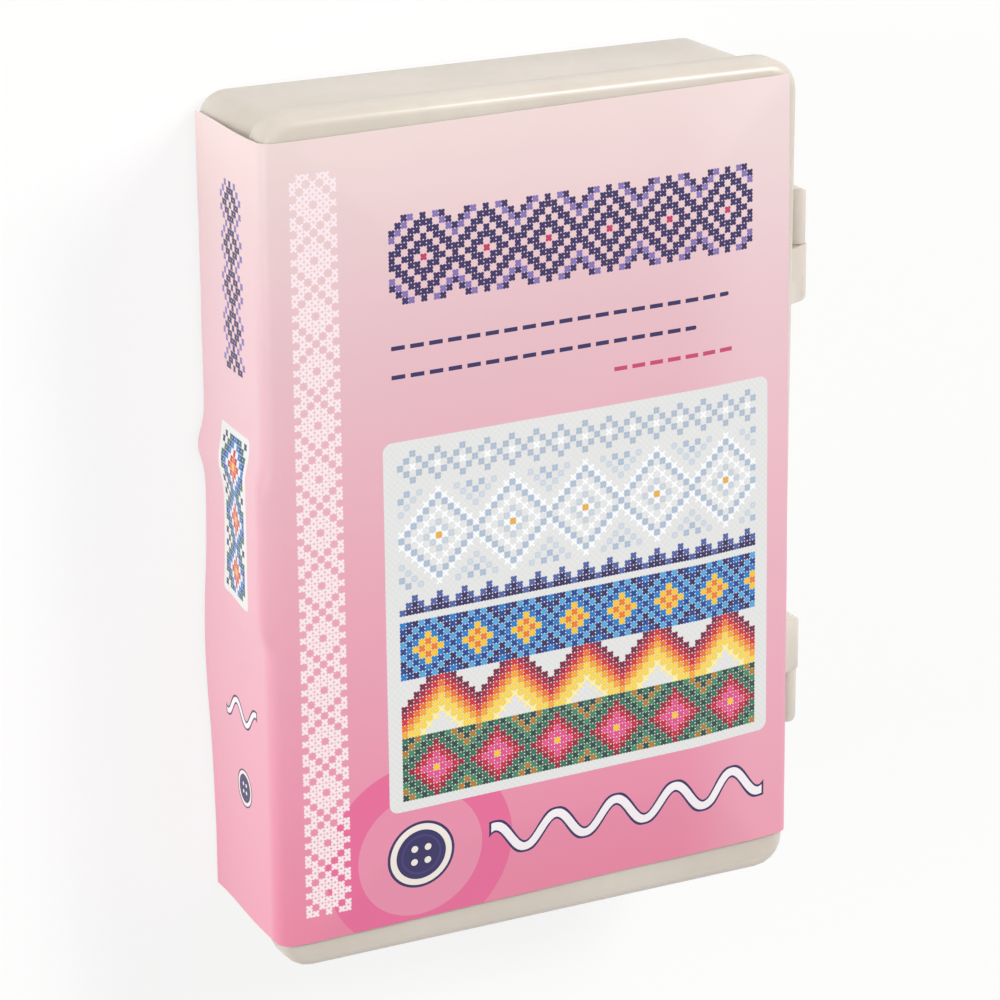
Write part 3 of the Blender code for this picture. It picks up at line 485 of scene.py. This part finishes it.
def pink_wash(tree, place):
    """Ground colour, near white at -X and rose at +X, whitened by painted sheen on the flap and the hinge
    side.
    """
    parts = add(tree, "ShaderNodeSeparateXYZ", {"Vector": place}).node.outputs
    share = add(tree, "ShaderNodeMath", {0: parts["X"], 1: LABEL_LENGTH}, operation="DIVIDE")
    ground = fill_ramp(add(tree, "ShaderNodeValToRGB", {"Fac": share}),
                       [(stop, linear(ink)) for stop, ink in WASH_STOPS])
    flap = add(tree, "ShaderNodeMapRange", {"Value": parts["Y"], "From Min": WASH_FLAP_Y[0],
                                            "From Max": WASH_FLAP_Y[1]})
    lower = add(tree, "ShaderNodeMapRange", {"Value": parts["X"], "From Min": WASH_FLAP_X[0],
                                             "From Max": WASH_FLAP_X[1]})
    flap = add(tree, "ShaderNodeMath", {0: flap, 1: lower}, operation="MULTIPLY")
    hinge_side = add(tree, "ShaderNodeMapRange", {"Value": parts["Y"], "From Min": WASH_HINGE_Y[0],
                                                  "From Max": WASH_HINGE_Y[1]},
                     interpolation_type="SMOOTHSTEP")
    either = add(tree, "ShaderNodeMath", {0: flap, 1: hinge_side}, operation="MAXIMUM")
    # Painted sheen: whitening of the flap and the hinge side, for the light that falls on them
    painted_sheen = add(tree, "ShaderNodeMath", {0: either, 1: WASH_SHEEN_SHARE}, operation="MULTIPLY")
    return add(tree, "ShaderNodeMix", {0: painted_sheen, 6: ground, 7: linear(WASH_SHEEN_WHITE)}, out=2,
               data_type="RGBA")


def rose_ring(tree, place, ground):
    """A broad ring of deeper rose round the button."""
    for radius, ink in ROSE_RINGS:
        ground = inked_panel(tree, place, ground, BUTTON_PLACE, (2 * radius, 2 * radius), radius, linear(ink))
    return ground


def heading_band(tree, place, ground):
    """Broad navy band of long diamonds near the pale end, with lines of running stitch under it."""
    chart = stitch_chart(tree, place, HEADING_CENTRE, HEADING_STITCHES)
    ground = stitched_band(tree, ground, chart, (0, HEADING_STITCHES[0]), HEADING_REPEAT, HEADING_INKS)
    for row, middle, length, ink in RUNNING_LINES:
        ground = running_stitches(tree, place, ground, (row, middle), length, ink)
    return ground


def sampler_panel(tree, place, ground):
    """Pale linen panel with a sampler: whitework above, full colours below."""
    # Linen weave: the real threads are near 0.4 mm apart, drawn at 0.7 mm so that they show
    light, shade = [linear(ink) for ink in LINEN_INKS]
    woven = add(tree, "ShaderNodeTexChecker", {"Vector": place, "Color1": light, "Color2": shade,
                                               "Scale": LINEN_CHECKS_PER_METRE})
    ground = inked_panel(tree, place, ground, LINEN_CENTRE, LINEN_SIZE, LINEN_CORNER, woven)
    chart = stitch_chart(tree, place, LINEN_CENTRE, SAMPLER_STITCHES)
    for rows, repeat, inks in SAMPLER_BANDS:
        ground = stitched_band(tree, ground, chart, rows, repeat, inks)
    return ground


def fold_chain(tree, place, ground):
    """Chain of pale diamonds along the fold."""
    chart = stitch_chart(tree, place, CHAIN_CENTRE, CHAIN_STITCHES)
    return stitched_band(tree, ground, chart, ALL_ROWS, CHAIN_REPEAT, CHAIN_INKS)


def cord_and_button(tree, place, ground):
    """White laid cord with a navy outline beside a button, near the rose end."""
    ground = couched_wave(tree, place, ground, CORD_CENTRE, CORD_SIZE, CORD_WAVES, CORD_INKS)
    return four_hole_button(tree, place, ground, BUTTON_PLACE, BUTTON_RADIUS)


def flap_motifs(tree, place, ground):
    """Navy and lilac band, a small bright sampler, a cord and a button on the flap."""
    chart = stitch_chart(tree, place, FLAP_BAND_CENTRE, FLAP_BAND_STITCHES)
    ground = stitched_band(tree, ground, chart, ALL_ROWS, FLAP_BAND_REPEAT, FLAP_BAND_INKS)
    ground = inked_panel(tree, place, ground, CARD_CENTRE, CARD_SIZE, CARD_CORNER, linear(CARD_COLOUR))
    chart = stitch_chart(tree, place, CARD_CENTRE, CARD_STITCHES)
    ground = stitched_band(tree, ground, chart, ALL_ROWS, CARD_REPEAT, CARD_INKS)
    ground = couched_wave(tree, place, ground, FLAP_CORD_CENTRE, FLAP_CORD_SIZE, FLAP_CORD_WAVES,
                          FLAP_CORD_INKS)
    return four_hole_button(tree, place, ground, FLAP_BUTTON_PLACE, FLAP_BUTTON_RADIUS)


def printed_paper():
    """Satin coated label paper, offset printed: a pink wash with cross-stitch motifs."""
    material, tree, shader = new_material("satin_coated_printed_paper")
    low, high = NOISE_RANGE
    sheet = add(tree, "ShaderNodeAttribute", attribute_type="GEOMETRY", attribute_name="print_place",
                out="Vector")
    colour = pink_wash(tree, sheet)
    for motif in (rose_ring, heading_band, sampler_panel, fold_chain, cord_and_button, flap_motifs):
        colour = motif(tree, sheet, colour)
    tree.links.new(colour, shader.inputs["Base Color"])
    place = add(tree, "ShaderNodeTexCoord", out="Object")
    fibres = add(tree, "ShaderNodeTexNoise", {"Vector": place, "Scale": FRONT_FIBRES_PER_METRE, "Detail": 2.0,
                                              "Roughness": 0.6})
    gloss = add(tree, "ShaderNodeMapRange", {"Value": fibres, "From Min": low, "From Max": high,
                                             "To Min": FRONT_ROUGHNESS[0], "To Max": FRONT_ROUGHNESS[1]})
    tree.links.new(gloss, shader.inputs["Roughness"])
    bump = add(tree, "ShaderNodeBump", {"Height": fibres, "Strength": FRONT_FIBRE_STRENGTH,
                                        "Distance": FIBRE_HEIGHT})
    tree.links.new(bump, shader.inputs["Normal"])
    shader.inputs["IOR"].default_value = FRONT_IOR
    return material


# Mouldings

def freeze(item):
    """Turn the object's evaluated shape into its plain mesh and drop its modifiers."""
    bpy.context.view_layer.update()
    graph = bpy.context.evaluated_depsgraph_get()
    mesh = bpy.data.meshes.new_from_object(item.evaluated_get(graph), preserve_all_data_layers=True,
                                           depsgraph=graph)
    item.modifiers.clear()
    item.data = mesh


def new_piece(name, mesh):
    """Link a new object that holds the given mesh."""
    item = bpy.data.objects.new(name, mesh)
    bpy.context.scene.collection.objects.link(item)
    return item


def hinge_seen(x):
    """Where a place on a packed hinge is seen along X."""
    side = 1 if x > 0 else -1
    packed, seen = HINGE_PACKED, HINGE_SEEN[side]
    first = 0 if abs(x) < packed[1] else 1
    share = (abs(x) - packed[first]) / (packed[first + 1] - packed[first])
    return side * (seen[first] + share * (seen[first + 1] - seen[first]))


def slide_hinges(shape, wall):
    """Slide what stands out of the hinge-side wall along it, to where the photograph shows it."""
    for vert in shape.verts:
        x, y, z = vert.co
        beside = HINGE_PACKED[0] - HINGE_CLEAR < abs(x) < HINGE_PACKED[2] + HINGE_CLEAR
        if beside and y > wall - WALL_SLACK and HINGE_BAND_Z[0] < z < HINGE_BAND_Z[1]:
            vert.co.x = hinge_seen(x)


def moulding(name, node, body, material, wall):
    """A copy of a packed moulding, with its small edges rounded as a tool leaves them."""
    shape = bmesh.new()
    shape.from_mesh(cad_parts[node].data)
    bmesh.ops.remove_doubles(shape, verts=shape.verts, dist=MERGE_DISTANCE)
    bmesh.ops.dissolve_limit(shape, angle_limit=FLAT_ANGLE, verts=shape.verts, edges=shape.edges)
    slide_hinges(shape, wall)
    mesh = bpy.data.meshes.new(name)
    shape.to_mesh(mesh)
    shape.free()
    mesh.materials.append(material)
    item = new_piece(name, mesh)
    edge = item.modifiers.new("moulded_edge", "BEVEL")
    edge.width = MOULDED_EDGE
    edge.segments = MOULDED_EDGE_STEPS
    edge.limit_method = "ANGLE"
    edge.angle_limit = SMOOTH_ANGLE
    edge.harden_normals = True
    edge.use_clamp_overlap = True
    mesh.shade_smooth()
    freeze(item)
    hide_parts(node)
    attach(item, body)
    return item


# Label sheet

FLAP_ROWS = round(FLAP_DEPTH / PAPER_STEP)
FRONT_ROWS = round(FRONT_WIDTH / PAPER_STEP)
ROWS = FLAP_ROWS + FOLD_STEPS + FRONT_ROWS
LABEL_COUNTS = {"Columns": round(LABEL_LENGTH / PAPER_STEP) + 1, "Rows": ROWS + 1}
LABEL_SIZES = {
    "Half length": HALF_LENGTH,
    "Half width": HALF_WIDTH,
    "Rim height": RIM_Z,
    "Skirt height": SKIRT_Z,
    "Fold centre": -HALF_WIDTH + LID_EDGE_RADIUS,
    "Fold height": RIM_Z - LID_EDGE_RADIUS,
    "Fold radius": FOLD_RADIUS,
    "Fold begins": FLAP_ROWS / ROWS,
    "Fold ends": (FLAP_ROWS + FOLD_STEPS) / ROWS,
    "Rim band": LID_RIM_BAND,
    "Crown inset": LID_RIM_BAND + LID_HIP_RUN,
    "Crown rise": CROWN_RISE,
    "Tray inset": TRAY_INSET,
    "Slope": LABEL_SLOPE,
    "Low end": -HALF_LENGTH + LABEL_LOW_MARGIN,
    "High end": HALF_LENGTH - LABEL_HIGH_MARGIN,
    "Hinge edge": HALF_WIDTH - LABEL_HINGE_MARGIN,
    "Hinge edge lean": HALF_LENGTH * LABEL_SLOPE,
    "Foot height": LABEL_FOOT,
    "Foot lean": -LABEL_FOOT_FALL,
    "Tab half width": TAB_HALF_WIDTH,
    "Tab side reach": TAB_HALF_WIDTH + TAB_REACH,
    "Tab proud": TAB_PROUD,
    "Tab top": RIM_Z - TAB_RAMP,
    "Tab bottom": TAB_LOW_Z,
    "Tab fade bottom": TAB_LOW_Z - TAB_FADE,
    "Flap depth": FLAP_DEPTH,
    "Front width": FRONT_WIDTH,
    "Ripple": PAPER_RIPPLE,
    "Ripple seed": RIPPLE_SEED,
}


def section_of_sheet(tree, size, along, across):
    """Plain section of the sheet: up the flap, round the fold and across the front, with its print place."""
    flap = add(tree, "ShaderNodeMapRange", {"Value": across, "From Max": size["Fold begins"]})
    turn = add(tree, "ShaderNodeMapRange", {"Value": across, "From Min": size["Fold begins"],
                                            "From Max": size["Fold ends"], "To Max": pi / 2})
    front = add(tree, "ShaderNodeMapRange", {"Value": across, "From Min": size["Fold ends"]})
    lean = add(tree, "ShaderNodeMapRange", {"Value": along, "To Min": LEAN_ENDS[0], "To Max": LEAN_ENDS[1]})
    foot = add(tree, "ShaderNodeMath", {0: lean, 1: size["Foot lean"], 2: size["Foot height"]},
               operation="MULTIPLY_ADD")
    climb = add(tree, "ShaderNodeMapRange", {"Value": flap, "To Min": foot, "To Max": size["Fold height"]})
    sine = add(tree, "ShaderNodeMath", {0: turn}, operation="SINE")
    z = add(tree, "ShaderNodeMath", {0: sine, 1: size["Fold radius"], 2: climb}, operation="MULTIPLY_ADD")
    cosine = add(tree, "ShaderNodeMath", {0: turn}, operation="COSINE")
    out = add(tree, "ShaderNodeMath", {0: cosine, 1: size["Fold radius"]}, operation="MULTIPLY")
    fold_y = add(tree, "ShaderNodeMath", {0: size["Fold centre"], 1: out}, operation="SUBTRACT")
    end_y = add(tree, "ShaderNodeMath", {0: lean, 1: size["Hinge edge lean"], 2: size["Hinge edge"]},
                operation="MULTIPLY_ADD")
    y = add(tree, "ShaderNodeMapRange", {"Value": front, "To Min": fold_y, "To Max": end_y})
    below = add(tree, "ShaderNodeMath", {0: flap, 1: 1.0}, operation="SUBTRACT")
    middle = add(tree, "ShaderNodeMath", {0: turn, 1: pi / 4}, operation="SUBTRACT")
    printed = add(tree, "ShaderNodeMath", {0: below, 1: size["Flap depth"]}, operation="MULTIPLY")
    printed = add(tree, "ShaderNodeMath", {0: middle, 1: size["Fold radius"], 2: printed},
                  operation="MULTIPLY_ADD")
    printed = add(tree, "ShaderNodeMath", {0: front, 1: size["Front width"], 2: printed},
                  operation="MULTIPLY_ADD")
    return y, z, printed


def askew_x(tree, size, along, y, z):
    """Place along the box, with the small lean that the label was stuck on with."""
    straight = add(tree, "ShaderNodeMapRange", {"Value": along, "To Min": size["Low end"],
                                                "To Max": size["High end"]})
    drop = add(tree, "ShaderNodeMath", {0: size["Rim height"], 1: z}, operation="SUBTRACT")
    run = add(tree, "ShaderNodeMath", {0: y, 1: size["Half width"]}, operation="ADD")
    travel = add(tree, "ShaderNodeMath", {0: drop, 1: run}, operation="SUBTRACT")
    return add(tree, "ShaderNodeMath", {0: travel, 1: size["Slope"], 2: straight}, operation="MULTIPLY_ADD")


def over_the_hips(tree, size, x, y, z):
    """Height of the front where it follows the lid's slopes and the rounded hinge-side edge."""
    beside = add(tree, "ShaderNodeMath", {0: x}, operation="ABSOLUTE")
    from_end = add(tree, "ShaderNodeMath", {0: size["Half length"], 1: beside}, operation="SUBTRACT")
    across = add(tree, "ShaderNodeMath", {0: y}, operation="ABSOLUTE")
    from_side = add(tree, "ShaderNodeMath", {0: size["Half width"], 1: across}, operation="SUBTRACT")
    inside = add(tree, "ShaderNodeMath", {0: from_end, 1: from_side}, operation="MINIMUM")
    rise = add(tree, "ShaderNodeMapRange", {"Value": inside, "From Min": size["Rim band"],
                                            "From Max": size["Crown inset"], "To Max": size["Crown rise"]})
    past = add(tree, "ShaderNodeMath", {0: y, 1: size["Fold centre"]}, operation="ADD")
    past = add(tree, "ShaderNodeMath", {0: past, 1: 0.0}, operation="MAXIMUM")
    square = add(tree, "ShaderNodeMath", {0: past, 1: past}, operation="MULTIPLY")
    whole = add(tree, "ShaderNodeMath", {0: size["Fold radius"], 1: size["Fold radius"]},
                operation="MULTIPLY")
    left = add(tree, "ShaderNodeMath", {0: whole, 1: square}, operation="SUBTRACT")
    level = add(tree, "ShaderNodeMath", {0: left}, operation="SQRT")
    fall = add(tree, "ShaderNodeMath", {0: size["Fold radius"], 1: level}, operation="SUBTRACT")
    risen = add(tree, "ShaderNodeMath", {0: z, 1: rise}, operation="ADD")
    return add(tree, "ShaderNodeMath", {0: risen, 1: fall}, operation="SUBTRACT")


def loose_flap(tree, size, x, y, z):
    """Latch-side place of the flap: in to the tray, out over the thumb tab, loose where it has lifted."""
    down = add(tree, "ShaderNodeMapRange", {"Value": z, "From Min": size["Skirt height"],
                                            "From Max": size["Foot height"]}, interpolation_type="SMOOTHSTEP")
    beside = add(tree, "ShaderNodeMath", {0: x}, operation="ABSOLUTE")
    wide = add(tree, "ShaderNodeMapRange", {"Value": beside, "From Min": size["Tab side reach"],
                                            "From Max": size["Tab half width"]},
               interpolation_type="SMOOTHSTEP")
    above = add(tree, "ShaderNodeMapRange", {"Value": z, "From Min": size["Rim height"],
                                             "From Max": size["Tab top"]}, interpolation_type="SMOOTHSTEP")
    below = add(tree, "ShaderNodeMapRange", {"Value": z, "From Min": size["Tab fade bottom"],
                                             "From Max": size["Tab bottom"]}, interpolation_type="SMOOTHSTEP")
    bulge = add(tree, "ShaderNodeMath", {0: wide, 1: above}, operation="MULTIPLY")
    bulge = add(tree, "ShaderNodeMath", {0: bulge, 1: below}, operation="MULTIPLY")
    out = add(tree, "ShaderNodeMath", {0: bulge, 1: size["Tab proud"]}, operation="MULTIPLY")
    lifted = 0.0
    for middle, spread, rise in LOOSE_PLACES:
        away = add(tree, "ShaderNodeMath", {0: x, 1: middle}, operation="SUBTRACT")
        away = add(tree, "ShaderNodeMath", {0: away, 1: spread}, operation="DIVIDE")
        away = add(tree, "ShaderNodeMath", {0: away, 1: away}, operation="MULTIPLY")
        hump = add(tree, "ShaderNodeMath", {0: 0.5, 1: away}, operation="POWER")
        lifted = add(tree, "ShaderNodeMath", {0: hump, 1: rise, 2: lifted}, operation="MULTIPLY_ADD")
    inward = add(tree, "ShaderNodeMath", {0: size["Tray inset"], 1: lifted}, operation="SUBTRACT")
    moved = add(tree, "ShaderNodeMath", {0: inward, 1: down, 2: y}, operation="MULTIPLY_ADD")
    return add(tree, "ShaderNodeMath", {0: moved, 1: out}, operation="SUBTRACT")


def folded_sheet_tree(material):
    """A sheet laid up the latch side from its foot, over the rounded edge and across the hipped lid."""
    tree = bpy.data.node_groups.new("label_folded_over_lid", "GeometryNodeTree")
    for name in LABEL_COUNTS:
        tree.interface.new_socket(name=name, in_out="INPUT", socket_type="NodeSocketInt")
    for name in LABEL_SIZES:
        tree.interface.new_socket(name=name, in_out="INPUT", socket_type="NodeSocketFloat")
    tree.interface.new_socket(name="Sheet", in_out="OUTPUT", socket_type="NodeSocketGeometry")
    size = tree.nodes.new("NodeGroupInput").outputs
    grid = add(tree, "GeometryNodeMeshGrid", {"Size X": 1.0, "Size Y": 1.0, "Vertices X": size["Columns"],
                                              "Vertices Y": size["Rows"]})
    share = add(tree, "ShaderNodeSeparateXYZ", {"Vector": grid.node.outputs["UV Map"]})
    along = share.node.outputs["X"]
    across = share.node.outputs["Y"]
    y, z, printed = section_of_sheet(tree, size, along, across)
    x = askew_x(tree, size, along, y, z)
    z = over_the_hips(tree, size, x, y, z)
    y = loose_flap(tree, size, x, y, z)
    place = add(tree, "ShaderNodeCombineXYZ", {"X": x, "Y": y, "Z": z})
    print_x = add(tree, "ShaderNodeMath", {0: along, 1: LABEL_LENGTH}, operation="MULTIPLY")
    print_place = add(tree, "ShaderNodeCombineXYZ", {"X": print_x, "Y": printed})
    kept = add(tree, "GeometryNodeStoreNamedAttribute", {"Geometry": grid, "Name": "print_place",
                                                         "Value": print_place},
               data_type="FLOAT_VECTOR", domain="POINT")
    laid = add(tree, "GeometryNodeSetPosition", {"Geometry": kept, "Position": place})
    wander = add(tree, "ShaderNodeTexNoise", {"W": size["Ripple seed"], "Scale": RIPPLE_PER_METRE,
                                              "Detail": 1.0}, noise_dimensions="4D")
    ripple = add(tree, "ShaderNodeMapRange", {"Value": wander, "From Min": RIPPLE_RANGE[0],
                                              "From Max": RIPPLE_RANGE[1], "To Max": size["Ripple"]})
    normal = add(tree, "GeometryNodeInputNormal")
    offset = add(tree, "ShaderNodeVectorMath", {0: normal, "Scale": ripple}, operation="SCALE")
    rippled = add(tree, "GeometryNodeSetPosition", {"Geometry": laid, "Offset": offset})
    smooth = add(tree, "GeometryNodeSetShadeSmooth", {"Geometry": rippled})
    real = add(tree, "GeometryNodeRealizeInstances", {"Geometry": smooth})
    done = add(tree, "GeometryNodeSetMaterial", {"Geometry": real, "Material": material})
    add(tree, "NodeGroupOutput", {"Sheet": done})
    return tree


def label_sheet(material, back):
    """The label: one folded sheet, with its paper thickness and its unprinted back."""
    item = new_piece("label_sheet", bpy.data.meshes.new("label_sheet"))
    tree = folded_sheet_tree(material)
    modifier = item.modifiers.new("sheet", "NODES")
    modifier.node_group = tree
    values = {**LABEL_COUNTS, **LABEL_SIZES}
    for socket in tree.interface.items_tree:
        if socket.in_out == "INPUT":
            modifier[socket.identifier] = values[socket.name]
    freeze(item)
    item.data.materials.append(back)
    paper = item.modifiers.new("paper", "SOLIDIFY")
    paper.thickness = PAPER_THICKNESS
    paper.offset = -1.0
    paper.material_offset = 1
    paper.material_offset_rim = 1
    freeze(item)
    item.data.set_sharp_from_angle(angle=PAPER_SHARP_ANGLE)
    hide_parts("label")
    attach(item, "lid_body")
    return item


# Studio

def white_share(tree, least):
    """1 for camera, glossy and transmission rays, and the given least for all others."""
    path = add(tree, "ShaderNodeLightPath").node.outputs
    seen = add(tree, "ShaderNodeMath", {0: path["Is Camera Ray"], 1: path["Is Glossy Ray"]},
               operation="MAXIMUM")
    seen = add(tree, "ShaderNodeMath", {0: seen, 1: path["Is Transmission Ray"]}, operation="MAXIMUM")
    return add(tree, "ShaderNodeMapRange", {"Value": seen, "To Min": least})


def studio_floor():
    """Plain pale sweep under the box, white to the camera but for the shadow."""
    shape = bmesh.new()
    bmesh.ops.create_grid(shape, x_segments=1, y_segments=1, size=FLOOR_SIZE / 2)
    bmesh.ops.translate(shape, vec=(0, 0, -FLOOR_DROP), verts=shape.verts)
    mesh = bpy.data.meshes.new("studio_floor")
    shape.to_mesh(mesh)
    shape.free()
    material, tree, shader = new_material("pale_studio_sweep")
    shader.inputs["Base Color"].default_value = linear(FLOOR_COLOUR)
    shader.inputs["Roughness"].default_value = FLOOR_ROUGHNESS
    seen = white_share(tree, 0.0)
    amount = add(tree, "ShaderNodeMath", {0: seen, 1: FLOOR_WHITE_SHARE}, operation="MULTIPLY")
    white = add(tree, "ShaderNodeEmission", {"Color": (1, 1, 1, 1), "Strength": 1.0})
    mixed = add(tree, "ShaderNodeMixShader", {0: amount, 1: shader.outputs["BSDF"], 2: white})
    tree.links.new(mixed, tree.nodes["Material Output"].inputs["Surface"])
    mesh.materials.append(material)
    new_piece("studio_floor", mesh)


def softbox(name, place, size, power, colour):
    """A rectangular soft lamp aimed at the middle of the box."""
    lamp = bpy.data.lights.new(name, "AREA")
    lamp.shape = "RECTANGLE"
    lamp.size, lamp.size_y = size
    lamp.energy = power
    lamp.color = linear(colour)[:3]
    item = bpy.data.objects.new(name, lamp)
    item.location = place
    item.rotation_euler = (Vector((0, 0, RIM_Z / 2)) - Vector(place)).to_track_quat("-Z", "Y").to_euler()
    bpy.context.scene.collection.objects.link(item)


def studio_sky():
    """Even surrounding light, seen as white by the camera and in reflections."""
    world = bpy.data.worlds.new("studio_sky")
    world.use_nodes = True
    tree = world.node_tree
    tree.nodes.clear()
    strength = white_share(tree, SKY_LEVEL)
    sky = add(tree, "ShaderNodeBackground", {"Color": (1, 1, 1, 1), "Strength": strength})
    add(tree, "ShaderNodeOutputWorld", {"Surface": sky})
    bpy.context.scene.world = world


def photo_camera():
    """The camera at the photograph's viewing angle."""
    lens = bpy.data.cameras.new("photo_camera")
    lens.lens = CAMERA_LENS
    lens.sensor_width = CAMERA_SENSOR
    lens.clip_start = CAMERA_NEAR
    camera = bpy.data.objects.new("photo_camera", lens)
    camera.location = CAMERA_PLACE
    camera.rotation_euler = [radians(turn) for turn in CAMERA_TURN]
    bpy.context.scene.collection.objects.link(camera)
    bpy.context.scene.camera = camera


def main():
    """Dress the frame, light it and set the camera."""
    plastic = frosted_polypropylene()
    moulding("tray_moulding", "base_tray", "tray_body", plastic, HALF_WIDTH - TRAY_INSET)
    moulding("lid_moulding", "lid", "lid_body", plastic, HALF_WIDTH)
    label_sheet(printed_paper(), bare_paper())
    card = bobbin_card()
    for name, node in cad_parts.items():
        if name.startswith("bobbin"):
            node.data.materials.clear()
            node.data.materials.append(card)
    studio_floor()
    for lamp in LAMPS:
        softbox(*lamp)
    studio_sky()
    photo_camera()
    bpy.context.scene.view_settings.view_transform = "Standard"


main()
